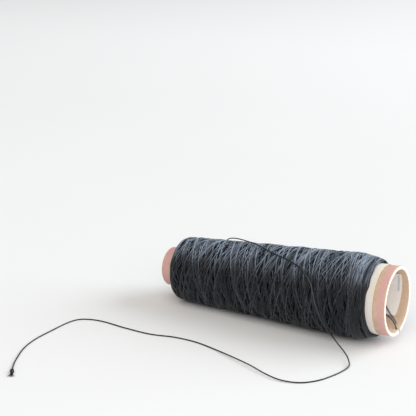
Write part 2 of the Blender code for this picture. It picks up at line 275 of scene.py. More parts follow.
def smooth_curve(points, per_span=24):
    """Dense points on a Catmull-Rom curve through these points."""
    ends = [2 * points[0] - points[1], *points, 2 * points[-1] - points[-2]]
    dense = []
    for before, start, end, after in zip(ends, ends[1:], ends[2:], ends[3:]):
        for i in range(per_span):
            t = i / per_span
            point = 2 * start + (end - before) * t
            point += (2 * before - 5 * start + 4 * end - after) * t**2
            point += (3 * start - before - 3 * end + after) * t**3
            dense.append(0.5 * point)
    dense.append(points[-1].copy())
    return dense


def reach_along(points):
    """How far along the curve each of its points is."""
    return np.concatenate([[0.0], np.cumsum(np.linalg.norm(np.diff(points, axis=0), axis=1))])


def even_curve(points, spacing):
    """An array of points this far apart on the smooth curve, both ends kept."""
    dense = np.array(smooth_curve(points))
    reach = reach_along(dense)
    count = max(2, round(reach[-1] / spacing))
    places = np.linspace(0.0, reach[-1], count + 1)
    return np.stack([np.interp(places, reach, dense[:, k]) for k in range(3)], axis=1)


def ring_angles(count):
    return np.arange(count) * 2 * math.pi / count


def running_mean(values, span):
    """Each value averaged with this many on either side of it."""
    kernel = np.ones(2 * span + 1) / (2 * span + 1)
    return np.convolve(np.pad(values, span, mode="edge"), kernel, "valid")


def unit(vectors):
    return vectors / np.linalg.norm(vectors, axis=-1, keepdims=True)


def carried_frames(points):
    """Two directions square to the curve at each point, carried along it without twist."""
    tangents = unit(np.gradient(points, axis=0))
    side = np.cross(tangents[0], (0.0, 0.0, 1.0))
    if np.linalg.norm(side) < 0.1:
        side = np.cross(tangents[0], (0.0, 1.0, 0.0))
    sides = [side / np.linalg.norm(side)]
    for tangent in tangents[1:]:
        side = sides[-1] - tangent * np.dot(sides[-1], tangent)
        sides.append(side / np.linalg.norm(side))
    sides = np.array(sides)
    return sides, np.cross(tangents, sides)


# -------- meshes


def add_object(name, data):
    obj = bpy.data.objects.new(name, data)
    bpy.context.scene.collection.objects.link(obj)
    return obj


def make_mesh(name, vertices, faces):
    mesh = bpy.data.meshes.new(name)
    mesh.from_pydata(vertices, [], faces)
    return mesh


def add_piece(name, mesh, finish, replaced=()):
    """A piece that rides on the spool's one body."""
    mesh.shade_smooth()
    mesh.materials.append(finish)
    obj = add_object(name, mesh)
    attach(obj, "root")
    if replaced:
        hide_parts(*replaced)
    return obj


def corner_attribute(mesh, name, values):
    """A vector for each face corner, which the materials read by name."""
    made = mesh.attributes.new(name, "FLOAT_VECTOR", "CORNER")
    made.data.foreach_set("vector", np.asarray(values, np.float32).ravel())


def tube_grid(rings, sides):
    """The quads of a tube of this many rings, and each corner's (ring, side) before wrapping."""
    ring, side = np.meshgrid(np.arange(rings - 1), np.arange(sides), indexing="ij")
    ring, side = ring.ravel(), side.ravel()
    corner_rings = np.stack([ring, ring, ring + 1, ring + 1], axis=1)
    corner_sides = np.stack([side, side + 1, side + 1, side], axis=1)
    return corner_rings * sides + corner_sides % sides, corner_rings, corner_sides


def thread_piece(name, tubes, finish, replaced=()):
    """A piece of separate tubes, each given as its rings, their places along it and their shades.

    Its corners carry "wrap": how far along in mm, how far round from 0 to 1, and the strand's shade."""
    vertices, quads, wraps, caps, cap_wraps, start = [], [], [], [], [], 0
    for outlines, reach, shade in tubes:
        rings, sides = outlines.shape[:2]
        faces, corner_rings, corner_sides = tube_grid(rings, sides)
        wrap = np.stack([reach[corner_rings] / MM, corner_sides / sides, shade[corner_rings]], axis=-1)
        vertices.append(outlines.reshape(-1, 3))
        quads.append(faces + start)
        wraps.append(wrap.reshape(-1, 3))
        last = start + (rings - 1) * sides
        caps.append(list(range(start, start + sides))[::-1])
        caps.append(list(range(last, last + sides)))
        for end in (0, -1):
            cap_wraps.append(np.tile((reach[end] / MM, 0.5, shade[end]), (sides, 1)))
        start += rings * sides
    mesh = make_mesh(name, np.concatenate(vertices).tolist(), np.concatenate(quads).tolist() + caps)
    corner_attribute(mesh, "wrap", np.concatenate(wraps + cap_wraps))
    return add_piece(name, mesh, finish, replaced)


def ring_spokes(sides, first, second):
    """At each point of a curve, this many directions round it, from its first direction to its second."""
    around = ring_angles(sides)
    across = np.cos(around)[None, :, None] * first[:, None, :]
    return across + np.sin(around)[None, :, None] * second[:, None, :]


def twisted_outlines(points, radius=THREAD_RADIUS, sides=CORD_SIDES, thin=1.0):
    """Rings of a thread of twisted plies round these points, and how far along each ring is."""
    reach = reach_along(points)
    twist = reach[:, None] * 2 * math.pi / PLY_PITCH
    bulge = np.abs(np.cos(PLIES / 2 * (ring_angles(sides)[None, :] - twist)))
    sizes = radius * (1 - PLY_DEPTH + PLY_DEPTH * bulge) * np.reshape(thin, (-1, 1))
    return points[:, None, :] + ring_spokes(sides, *carried_frames(points)) * sizes[:, :, None], reach


def fibre(line, radius):
    """A thin fibre along this line, thinner towards its far end."""
    outlines, reach = twisted_outlines(line, radius, FIBRE_SIDES, np.linspace(1.0, FIBRE_TIP, len(line)))
    return outlines, reach, np.full_like(reach, FIBRE_SHADE)


# -------- materials


class Finish:
    """A material, with a short way to add nodes to it."""

    def __init__(self, name, **sockets):
        self.material = bpy.data.materials.new(name)
        self.material.use_nodes = True
        self.nodes = self.material.node_tree.nodes
        self.links = self.material.node_tree.links
        self.shader = self.nodes["Principled BSDF"]
        self.fill(self.shader, **sockets)

    def feed(self, socket, value):
        if isinstance(value, bpy.types.NodeSocket):
            self.links.new(value, socket)
        else:
            socket.default_value = value

    def fill(self, node, **sockets):
        """Feeds the node's inputs of these names, which have _ for a space."""
        for name, value in sockets.items():
            self.feed(node.inputs[name.replace("_", " ")], value)
        return node

    def add(self, kind, *values, **settings):
        """A node of this kind, its first inputs fed with these values or sockets. None skips an input."""
        made = self.nodes.new("ShaderNode" + kind)
        for setting, value in settings.items():
            setattr(made, setting, value)
        for socket, value in zip(made.inputs, values):
            if value is not None:
                self.feed(socket, value)
        return made

    def maths(self, operation, *values):
        return self.add("Math", *values, operation=operation).outputs[0]

    def product(self, first, *others):
        for value in others:
            first = self.maths("MULTIPLY", first, value)
        return first

    def weighted(self, *terms):
        """The sum of these values, each times its weight."""
        total = None
        for value, weight in terms:
            term = self.product(value, weight)
            total = term if total is None else self.maths("ADD", total, term)
        return total

    def attribute(self, name):
        read = self.add("Attribute", attribute_name=name)
        return self.add("SeparateXYZ", read.outputs["Vector"]).outputs

    def object_place(self, scale=(1.0, 1.0, 1.0)):
        place = self.add("TexCoord").outputs["Object"]
        return self.add("Mapping", place, None, None, scale).outputs[0]

    def noise(self, vector, scale, detail=3.0, roughness=0.5):
        made = self.add("TexNoise", vector)
        return self.fill(made, Scale=scale, Detail=detail, Roughness=roughness).outputs["Fac"]

    def spread(self, value, low, high, out_low=0.0, out_high=1.0, smooth=False):
        """The value from low to high, as a value from out_low to out_high."""
        made = self.add("MapRange", value, low, high, out_low, out_high)
        made.interpolation_type = "SMOOTHSTEP" if smooth else "LINEAR"
        return made.outputs["Result"]

    def band(self, value, rise, fall):
        """1 between the rise and the fall, each given by where it starts and ends, and 0 outside them."""
        risen = self.spread(value, *rise, smooth=True)
        return self.product(risen, self.spread(value, *fall, 1.0, 0.0, smooth=True))

    def mix(self, share, first, second):
        made = self.nodes.new("ShaderNodeMix")
        made.data_type = "RGBA"
        self.feed(made.inputs["Factor"], share)
        colour_sockets = [socket for socket in made.inputs if socket.type == "RGBA"]
        for socket, value in zip(colour_sockets, (first, second)):
            self.feed(socket, value if isinstance(value, bpy.types.NodeSocket) else (*value, 1.0))
        return made.outputs[2]

    def colour(self, socket):
        self.fill(self.shader, Base_Color=socket)

    def bump(self, height, distance, strength=1.0):
        made = self.fill(self.add("Bump"), Strength=strength, Distance=distance, Height=height)
        self.fill(self.shader, Normal=made.outputs["Normal"])


THREAD_DARK = (0.003, 0.0035, 0.0045)
THREAD_MID = (0.0072, 0.0085, 0.0115)
THREAD_LIGHT = (0.058, 0.069, 0.090)
# Painted highlight: a pale blue-grey laid on the strands' upper sides and crowns, standing in for the
# backlight's sheen.
PAINTED_HIGHLIGHT = (0.310, 0.375, 0.485)
KRAFT = (0.675, 0.465, 0.350)
KRAFT_DARK = (0.540, 0.360, 0.250)
KRAFT_LIGHT = (0.810, 0.640, 0.490)
BORE = (0.690, 0.530, 0.395)
BORE_DARK = (0.600, 0.440, 0.315)
BORE_LIGHT = (0.830, 0.710, 0.570)
PINK = (0.720, 0.365, 0.405)
CREAM = (0.900, 0.875, 0.840)
CREAM_SOFT = (0.865, 0.825, 0.775)
CREAM_DARK = (0.680, 0.570, 0.460)
SLEEVE = (0.770, 0.720, 0.665)
SLEEVE_DARK = (0.690, 0.635, 0.580)
LABEL = (0.975, 0.980, 0.990)
LABEL_DARK = (0.930, 0.940, 0.955)
LABEL_INK = (0.260, 0.450, 0.620)
SHEEN_TINT = (0.72, 0.84, 1.0, 1.0)
FLOOR_NEAR = (0.815, 0.82, 0.83)
FLOOR_NEAR_LIGHT = (0.83, 0.835, 0.84)
# Painted light: the far floor is paler, standing in for the window light that falls off towards the front.
FLOOR_FAR_PAINTED_LIGHT = (0.90, 0.905, 0.915)


def thread_finish(name, highlight_share, sheen):
    """Spun thread: twisted plies, fine fibres across them, each strand lighter or darker, painted shade in
    the ply grooves, and a painted highlight on the upper side and crown of each strand.
    """
    made = Finish(name, Roughness=0.34, Specular_IOR_Level=0.3, Sheen_Weight=sheen)
    made.fill(made.shader, Sheen_Roughness=0.3, Sheen_Tint=SHEEN_TINT)
    along, around, shade = made.attribute("wrap")
    turned = made.maths("SUBTRACT", around, made.maths("DIVIDE", along, PLY_PITCH / MM))
    ply = made.maths("ABSOLUTE", made.maths("COSINE", made.product(turned, math.pi * PLIES)))
    slow = made.noise(made.object_place(), 90.0, 2.0)
    fibre = made.noise(made.object_place(), 5200.0, 2.0, 0.6)
    light = made.weighted((shade, 0.62), (slow, 0.25), (fibre, 0.18))
    worn = made.mix(made.spread(light, 0.2, 0.6), THREAD_DARK, THREAD_MID)
    worn = made.mix(made.spread(light, 0.6, 1.0), worn, THREAD_LIGHT)
    # Painted shade: the grooves between plies are darkened towards the darkest thread colour.
    groove_shaded = made.mix(made.spread(ply, 0.0, 0.55, 0.55, 0.0), worn, THREAD_DARK)
    # Painted highlight: faces that look upward and each strand's crown get the pale painted highlight colour,
    # and each strand's sides stay dark as painted shade between strands.
    upward = made.add("SeparateXYZ", made.add("NewGeometry").outputs["Normal"]).outputs["Z"]
    highlight_facing = made.spread(upward, 0.4, 0.97, smooth=True)
    outward = made.maths("COSINE", made.product(around, 2 * math.pi))
    unshaded_crown = made.spread(outward, -0.1, 0.9, smooth=True)
    painted_highlight = made.product(highlight_facing, made.spread(light, 0.2, 0.75, 0.12, 1.0), unshaded_crown, highlight_share)
    made.colour(made.mix(painted_highlight, groove_shaded, PAINTED_HIGHLIGHT))
    made.bump(made.weighted((ply, 0.6), (fibre, 0.4)), 0.08 * MM, 0.7)
    return made.material


def paper_finish(name, light, dark, scale=420.0, rough=0.8):
    """Plain paper with long fibres and a slight mottle."""
    made = Finish(name, Roughness=rough, Specular_IOR_Level=0.25)
    mottle = made.noise(made.object_place(), scale, 4.0, 0.6)
    fibre = made.noise(made.object_place((1.0, 0.35, 1.0)), scale * 8, 3.0, 0.65)
    blend = made.weighted((mottle, 0.6), (fibre, 0.4))
    made.colour(made.mix(made.spread(blend, 0.3, 0.7), dark, light))
    made.bump(blend, 0.05 * MM, 0.6)
    return made.material


def kraft_finish(name, rings, seam_pitch, light=KRAFT, dark=KRAFT_DARK, pale=KRAFT_LIGHT):
    """Kraft paper wound in a spiral, with printed rings at these places along the tube in mm."""
    made = Finish(name, Roughness=0.72, Specular_IOR_Level=0.3)
    along, around, _ = made.attribute("place")
    mottle = made.noise(made.object_place(), 260.0, 4.0, 0.6)
    fibre = made.noise(made.object_place((0.4, 1.0, 1.0)), 3000.0, 3.0, 0.65)
    blend = made.weighted((mottle, 0.55), (fibre, 0.45))
    ground = made.mix(made.spread(blend, 0.35, 0.65), dark, light)
    ground = made.mix(made.spread(fibre, 0.55, 0.75), ground, pale)
    place = made.maths("ADD", along, made.product(made.maths("SUBTRACT", mottle, 0.5), 0.9))
    for start, end in rings:
        ring = made.band(place, (start - 0.4, start + 0.9), (end - 0.9, end + 0.4))
        ground = made.mix(made.product(ring, made.spread(fibre, 0.3, 0.7, 0.88, 0.62)), ground, PINK)
    spiral = made.maths("ADD", made.maths("DIVIDE", along, seam_pitch), around)
    from_seam = made.maths("PINGPONG", spiral, 0.5)
    seam = made.spread(from_seam, 0.0, 0.012, 1.0, 0.0, smooth=True)
    made.colour(made.mix(made.product(seam, 0.55), ground, dark))
    made.bump(made.maths("SUBTRACT", blend, made.product(seam, 0.7)), 0.06 * MM, 0.7)
    return made.material


def rim_finish():
    """The tube's cut ends: pale pulp in thin layers."""
    made = Finish("rim_board", Roughness=0.85, Specular_IOR_Level=0.2)
    _, _, depth = made.attribute("place")
    mottle = made.noise(made.object_place(), 900.0, 3.0, 0.6)
    wavy = made.maths("ADD", depth, made.product(mottle, 0.25))
    layers = made.maths("SINE", made.product(wavy, 2 * math.pi / PULP_LAYER))
    line = made.spread(layers, 0.55, 1.0, 0.0, 0.45, smooth=True)
    ground = made.mix(made.spread(mottle, 0.3, 0.7), CREAM, CREAM_SOFT)
    made.colour(made.mix(line, ground, CREAM_DARK))
    made.bump(made.maths("ADD", made.product(layers, -0.3), mottle), 0.08 * MM, 0.8)
    return made.material


def label_finish():
    """The bore's label: worn white paper with a strip of plain blue bars near its edge."""
    made = Finish("label_print", Roughness=0.55, Specular_IOR_Level=0.35)
    across, around, _ = made.attribute("place")
    mottle = made.noise(made.object_place(), 500.0, 3.0, 0.6)
    ground = made.mix(made.spread(mottle, 0.3, 0.7), LABEL_DARK, LABEL)
    strip = made.product(made.band(across, STRIP_START, STRIP_END), made.band(around, BARS_START, BARS_END))
    bars = made.maths("SINE", made.product(around, 2 * math.pi * BARS))
    ink = made.product(strip, made.spread(bars, -0.3, 0.3, 0.35, 0.6, smooth=True))
    made.colour(made.mix(ink, ground, LABEL_INK))
    made.bump(mottle, 0.05 * MM, 0.5)
    return made.material


def floor_finish():
    """A plain pale floor with painted light: paler farther back, towards the window's side."""
    made = Finish("pale_floor", Roughness=0.9, Specular_IOR_Level=0.2)
    slow = made.noise(made.object_place(), 2.0, 2.0)
    near = made.mix(made.spread(slow, 0.3, 0.7), FLOOR_NEAR, FLOOR_NEAR_LIGHT)
    place = made.add("SeparateXYZ", made.add("TexCoord").outputs["Object"]).outputs["Y"]
    # Painted light: the floor grows paler from near to far, standing in for the window light's fall-off.
    made.colour(made.mix(made.spread(place, 0.1, 1.6, smooth=True), near, FLOOR_FAR_PAINTED_LIGHT))
    return made.material


# -------- camera and stage


def look(obj, place, direction):
    """Puts a camera or a light at this place, looking this way."""
    obj.location = place
    obj.rotation_mode = "QUATERNION"
    obj.rotation_quaternion = direction.to_track_quat("-Z", "Y")


def make_camera():
    azimuth, elevation = math.radians(CAMERA_AZIMUTH), math.radians(CAMERA_ELEVATION)
    level = math.cos(elevation)
    back = Vector((math.sin(azimuth) * level, -math.cos(azimuth) * level, math.sin(elevation)))
    data = bpy.data.cameras.new("camera")
    data.sensor_width = CAMERA_SENSOR
    data.lens = CAMERA_LENS
    data.clip_start, data.clip_end = 0.01, 100.0
    camera = add_object("camera", data)
    look(camera, CAMERA_TARGET + back * CAMERA_DISTANCE, -back)
    bpy.context.scene.camera = camera


def add_light(name, place, size, power, colour):
    data = bpy.data.lights.new(name, "AREA")
    data.shape = "SQUARE"
    data.size = size
    data.energy = power
    data.color = colour
    look(add_object(name, data), place, -place)


def make_stage():
    half = FLOOR_SIZE / 2
    corners = [(-half, -half, 0), (half, -half, 0), (half, half, 0), (-half, half, 0)]
    mesh = make_mesh("floor", corners, [(0, 1, 2, 3)])
    mesh.materials.append(floor_finish())
    add_object("floor", mesh)
    world = bpy.data.worlds.new("studio")
    world.use_nodes = True
    background = world.node_tree.nodes["Background"]
    background.inputs["Color"].default_value = WORLD_COLOUR
    background.inputs["Strength"].default_value = WORLD_STRENGTH
    bpy.context.scene.world = world
    for light in LIGHTS:
        add_light(*light)
    bpy.context.scene.view_settings.view_transform = "Standard"


# -------- the cords


def over_winding():
    """The loose end's route over the winding, with its height over the winding's surface in metres."""
    lifts = [-TAIL_TUCK, -TAIL_TUCK / 4] + [TAIL_LIFT] * (len(OVER_WINDING) - 2)
    return [(along, angle, height * MM + lift) for (along, angle, height), lift in zip(OVER_WINDING, lifts)]


def loose_route():
    over = [
        on_spool(along * MM, angle, package_radius(along * MM) + height)
        for along, angle, height in over_winding()
    ]
    return over + [Vector(point) * MM for point in ALONG_SURFACE]


def knot_place(forward, sideways, up):
    across = Vector((-KNOT_HEADING.y, KNOT_HEADING.x, 0.0))
    place = KNOT_CENTRE + KNOT_HEADING * (forward * MM) + across * (sideways * MM)
    place.z = up * MM
    return place


def twisted_piece(name, points, shade, finish, replaced):
    outlines, reach = twisted_outlines(points)
    return thread_piece(name, [(outlines, reach, shade + 0 * reach)], finish, [replaced])


def make_knot(finish):
    """The overhand knot, as the thread itself."""
    points = even_curve([knot_place(*point) for point in KNOT_ROUTE], CORD_STEP / 2)
    return twisted_piece("overhand_knot", points, THREAD_SHADE, finish, "tail_knot")


def make_tuft(finish, rng):
    """The frayed end past the knot: its plies spread, with loose fibres between them."""
    fibres = []
    for spread in TUFT_PLY_SPREADS:
        route = [
            knot_place(2.3, 0.0, 1.0),
            knot_place(3.2, 0.6 * spread, 0.75),
            knot_place(4.4, 1.5 * spread, 0.45),
            knot_place(2.6 + TUFT_PLY_LENGTH / MM, 2.3 * spread, 0.3),
        ]
        fibres.append(fibre(even_curve(route, 0.25 * MM), TUFT_PLY_RADIUS))
    for _ in range(TUFT_FIBRES):
        spread = rng.normal(0.0, 0.55)
        length = 2.6 + rng.uniform(1.8, 4.6)
        lift = rng.uniform(0.1, 1.0)
        route = [
            knot_place(2.4, rng.normal(0.0, 0.12), 0.95),
            knot_place(3.3, 0.5 * spread + rng.normal(0.0, 0.1), 0.5 + 0.35 * lift),
            knot_place(0.6 * length + 1.6, 1.2 * spread + rng.normal(0.0, 0.2), 0.25 + 0.5 * lift),
            knot_place(length, 2.0 * spread + rng.normal(0.0, 0.35), 0.12 + 0.7 * lift),
        ]
        fibres.append(fibre(even_curve(route, 0.45 * MM), FIBRE_RADIUS))
    return thread_piece("frayed_tuft", fibres, finish, ["frayed_end"])


def make_cords(finish, loose_finish, rng):
    knot, tuft = make_knot(loose_finish), make_tuft(loose_finish, rng)
    points = even_curve(loose_route(), CORD_STEP)
    reach = reach_along(points)
    shade = 0.10 + 0.06 * np.sin(reach / MM / 17)
    # Painted highlight: the loose end is made pale down the front of the winding, and stays dark on top of it
    # and on the floor.
    shade += 1.2 * np.exp(-(((reach - HIGHLIGHT_REACH) / HIGHLIGHT_SPREAD) ** 2))
    loose = twisted_piece("loose_thread", points, shade, loose_finish, "loose_tail")
    route = [on_spool(along * MM, angle, radius * MM) for along, angle, radius in STARTING_ROUTE]
    points = even_curve(route, CORD_STEP)
    starting = twisted_piece("starting_thread", points, THREAD_SHADE, finish, "starting_tail")


# -------- the winding


def package_profile():
    """The winding's outline as (along, radius) from its base at the sleeve to its nose at the sleeve."""
    base_low = tube_radius(PACKAGE_END) + PACKAGE_HOLE + BASE_FACE
    base_along = PACKAGE_END - BASE_SHOULDER_LENGTH
    base_drop = package_radius(base_along) - base_low
    nose_length, nose_drop = NOSE_SHOULDER
    nose_along = PACKAGE_START + nose_length
    nose_low = package_radius(nose_along) - nose_drop
    turns = np.linspace(0.0, math.pi / 2, 24)
    outline = [(PACKAGE_END, tube_radius(PACKAGE_END) + PACKAGE_HOLE)]
    outline += [
        (base_along + BASE_SHOULDER_LENGTH * math.cos(t), base_low + base_drop * math.sin(t)) for t in turns
    ]
    outline += [
        (nose_along - nose_length * math.cos(t), nose_low + nose_drop * math.sin(t)) for t in turns[::-1]
    ]
    outline.append((PACKAGE_START, tube_radius(PACKAGE_START) + PACKAGE_HOLE))
    return np.array(outline)


class Bed:
    """The surface that the thread is laid on. Places on it are rows (m along its outline) and columns."""

    def __init__(self):
        outline = package_profile()
        reach = reach_along(outline)
        places = np.arange(0.0, reach[-1], ROW)
        line = np.stack([np.interp(places, reach, outline[:, k]) for k in range(2)], axis=1)
        tangent = np.gradient(line, axis=0)
        tangent = unit(np.stack([running_mean(tangent[:, k], 4) for k in range(2)], axis=1))
        self.normal = np.stack([-tangent[:, 1], tangent[:, 0]], axis=1)
        if self.normal[len(line) // 2, 1] < 0:
            self.normal = -self.normal
        self.line = line - self.normal * BED_DEPTH
        self.places = places
        self.length = places[-1]
        self.heights = np.zeros((len(places), COLUMNS))

    def at(self, rows):
        """The bed's (along, radius) and normal at these rows, in metres along its outline."""
        line = [np.interp(rows, self.places, self.line[:, k]) for k in range(2)]
        normal = [np.interp(rows, self.places, self.normal[:, k]) for k in range(2)]
        return np.stack(line, axis=-1), unit(np.stack(normal, axis=-1))

    def level(self):
        """Lifts or lowers the bed until the thread's mean top is level, and lets it swell a little."""
        mean = running_mean(self.heights.mean(axis=1), int(round(LEVEL_SPAN / ROW)))
        self.lift = np.zeros_like(self.heights)
        coarse = range(0, len(self.places), SWELL_STEP)
        for column, turn in enumerate(ring_angles(COLUMNS)):
            around = Vector((math.cos(turn), math.sin(turn), 0.0)) * (MEAN_RADIUS / SWELL_SIZE)
            waves = [noise.noise(around + Vector((0.0, 0.0, self.places[i] / SWELL_SIZE))) for i in coarse]
            self.lift[:, column] = np.interp(self.places, self.places[coarse], waves) * SWELL
        tuck = BASE_TUCK * np.clip(1 - self.places / BASE_TUCK_LENGTH, 0.0, 1.0)
        self.mean_lift = BED_DEPTH + LEVEL - mean - tuck
        self.lift += self.mean_lift[:, None]
        self.press_under_tail()

    def press_under_tail(self):
        """Lowers the winding where it would stand in the way of the loose end that lies on it."""
        row_at = self.places[:, None]
        column_at = np.arange(COLUMNS)[None, :]
        press = np.zeros_like(self.lift)
        route = [Vector(point) for point in over_winding()[2:]]
        for along, angle, height in even_curve(route, 1.0):
            row = self.places[np.argmin(np.abs(self.line[:, 0] - along * MM))]
            radius = package_radius(along * MM)
            apart = (column_at - angle / 360 * COLUMNS + COLUMNS / 2) % COLUMNS - COLUMNS / 2
            square = (row_at - row) ** 2 + (apart * 2 * math.pi * radius / COLUMNS) ** 2
            near = np.exp(-square / (2 * TAIL_BED**2))
            index = int(round(row / ROW)), int(round(angle / 360 * COLUMNS)) % COLUMNS
            first = max(index[0] - TAIL_REACH, 0)
            nearby = self.heights[first : index[0] + TAIL_REACH + 1, index[1]].max()
            excess = nearby + self.lift[index] - BED_DEPTH - (height - THREAD_RADIUS)
            press = np.maximum(press, near * min(max(excess, 0.0), TAIL_PRESS))
        self.lift -= press

    def level_lift(self, row):
        return np.interp(row, self.places, self.mean_lift)

    def kept_rows(self, index):
        return np.clip(index, 0, len(self.places) - 1)

    def row_index(self, rows):
        return self.kept_rows(np.rint(rows / ROW).astype(int))

    def lifted(self, rows, columns):
        return self.lift[self.row_index(rows), columns % COLUMNS]

    def lay(self, rows, columns):
        """Lays a thread over what is there, and returns its centre's height at each sample."""
        index = self.row_index(rows)
        column = columns % COLUMNS
        reach = int(round(TOUCH * THREAD_RADIUS / ROW))
        under = np.zeros(len(rows))
        for shift in range(-reach, reach + 1):
            under = np.maximum(under, self.heights[self.kept_rows(index + shift), column])
        wide = under.copy()
        for shift in (1, 2):
            wide[shift:] = np.maximum(wide[shift:], under[:-shift])
            wide[:-shift] = np.maximum(wide[:-shift], under[shift:])
        smooth = np.convolve(np.pad(wide, len(BEND) // 2, mode="edge"), BEND, "valid")
        centre = np.minimum(smooth * SETTLE + THREAD_RADIUS * STRAND_FLATNESS, TOP_HEIGHT)
        width = int(math.ceil(THREAD_RADIUS / ROW))
        for shift in range(-width, width + 1):
            drop = THREAD_RADIUS**2 - (shift * ROW) ** 2
            if drop < 0:
                continue
            top = centre + math.sqrt(drop) * STRAND_FLATNESS
            np.maximum.at(self.heights, (self.kept_rows(index + shift), column), top)
        return centre


def pass_rows(start, end, samples, rng):
    """The rows of one pass from one shoulder to the other, easing at both and wandering between."""
    share = np.linspace(0.0, 1.0, samples)
    ease = EASE * COLUMNS / samples
    rate = np.clip(share / ease, SLOWEST, 1.0) * np.clip((1 - share) / ease, SLOWEST, 1.0)
    for waves in WANDER_WAVES:
        rate *= 1 + rng.uniform(0.02, 0.12) * np.sin(2 * math.pi * (waves * share + rng.uniform()))
    travelled = np.concatenate([[0.0], np.cumsum(rate)[:-1]])
    return start + (end - start) * travelled / travelled[-1]


def turning_row(end_name, bed, rng):
    low, high = SHOULDER_ROWS[end_name]
    depth = rng.uniform(low, high)
    return depth if end_name == "base" else bed.length - depth


def plan_passes(rng):
    """Each pair of passes: its start column, its turns and its shade.

    The first ones come in ribbons whose strands lie side by side, the later ones alone and more varied."""
    plan, ribbon_left, column = [], 0, 0.0
    circle = 2 * math.pi * MEAN_RADIUS
    beside = COLUMNS * THREAD_DIAMETER / (circle * math.tan(math.radians(CROSSING_ANGLE)))
    for number in range(RIBBON_PASSES):
        if ribbon_left == 0:
            ribbon_left = rng.integers(*RIBBON_SIZES)
            column = rng.uniform(0.0, COLUMNS)
            turns = rng.normal(TURNS, 0.4)
        plan.append((column, turns + rng.normal(0.0, 0.04), RIBBON_SHADES[number % len(RIBBON_SHADES)]))
        column += beside * rng.uniform(*RIBBON_GAPS)
        ribbon_left -= 1
    for number in range(LOOSE_PASSES):
        column = (number * GOLDEN_SHARE + rng.uniform(-0.06, 0.06)) % 1.0 * COLUMNS
        turns = TURNS * rng.choice(LOOSE_TURNS) + rng.normal(0.0, 0.2)
        plan.append((column, turns, rng.choice(LOOSE_SHADES) + rng.normal(0.0, 0.05)))
    return plan


def wind(bed, rng):
    """Lays the whole thread. Returns rows, columns, heights and shades along it."""
    rows, columns, heights, shades = [], [], [], []
    column, row = 0, turning_row("base", bed, rng)
    lifted = THREAD_RADIUS
    for start_column, turns, shade in plan_passes(rng):
        for target in ("nose", "base"):
            if target == "nose":
                dwell = int((start_column - column) % COLUMNS)
            else:
                dwell = int(rng.uniform(*DWELL) * COLUMNS)
            goal = turning_row(target, bed, rng)
            drift = row + rng.uniform(-EDGE_WANDER, EDGE_WANDER)
            drift = min(max(drift, EDGE_MARGIN), bed.length - EDGE_MARGIN)
            edge = np.linspace(row, drift, dwell + 2)[1:-1]
            path = np.concatenate([edge, pass_rows(drift, goal, int(turns * COLUMNS), rng)])
            path_columns = column + np.arange(1, len(path) + 1)
            centre = bed.lay(path, path_columns)
            fade = min(FADE, len(centre))
            blend = np.linspace(0.0, 1.0, fade)
            centre[:fade] = lifted * (1 - blend) + centre[:fade] * blend
            rows.append(path)
            columns.append(path_columns)
            heights.append(centre)
            shades.append(np.full(len(path), min(max(shade, 0.05), 1.0)))
            column, row, lifted = path_columns[-1], goal, centre[-1]
    return [np.concatenate(values) for values in (rows, columns, heights, shades)]


def strand_outlines(bed, rows, columns, heights):
    """Rings of the thread where it lies on the bed, and how far along each ring is."""
    line, normal = bed.at(rows)
    turn = columns * 2 * math.pi / COLUMNS
    raised = line + normal * (heights + bed.lifted(rows, columns))[:, None]
    centre = spool_points(raised[:, 0], turn, raised[:, 1])
    centre[:, 2] = np.maximum(centre[:, 2], THREAD_RADIUS * STRAND_FLATNESS)
    outside = line + normal
    outward = spool_points(outside[:, 0], turn, outside[:, 1]) - spool_points(line[:, 0], turn, line[:, 1])
    tangent = unit(np.gradient(centre, axis=0))
    outward = unit(outward - tangent * np.sum(outward * tangent, axis=1, keepdims=True))
    sideways = np.cross(tangent, outward)
    spokes = ring_spokes(STRAND_SIDES, outward * STRAND_FLATNESS, sideways) * THREAD_RADIUS
    return centre[:, None, :] + spokes, reach_along(centre)


def make_stray_fibres(bed, finish, rng):
    """Short fibres that stand out of the winding here and there."""
    fibres = []
    for _ in range(STRAY_FIBRES):
        row = rng.uniform(0.02, 0.98) * bed.length
        turn = rng.uniform(0.0, 2 * math.pi)
        line, normal = bed.at(np.array([row]))
        column = np.array([int(turn / (2 * math.pi) * COLUMNS)])
        height = BED_DEPTH + LEVEL + bed.lifted(np.array([row]), column)[0] - bed.level_lift(row)
        lean_along, lean_round = rng.normal(0.0, 0.5), rng.normal(0.0, 1.0)
        length = rng.uniform(*STRAY_LENGTHS) * MM
        stand = min(rng.uniform(*STRAY_STANDS) * MM, 0.7 * length)
        points = []
        for share in (0.0, 0.35, 0.7, 1.0):
            out = height - STRAY_ROOT + stand * math.sin(share * 2.0) + 0.2 * MM * share
            along = line[0, 0] + normal[0, 0] * out + lean_along * length * share
            radius = line[0, 1] + normal[0, 1] * out
            place = spool_points(along, turn + lean_round * length * share / radius, radius)
            points.append(Vector(place))
        if min(point.z for point in points) >= 2 * GROUND_GAP:
            fibres.append(fibre(even_curve(points, 0.25 * MM), STRAY_RADIUS))
    thread_piece("stray_fibres", fibres, finish)


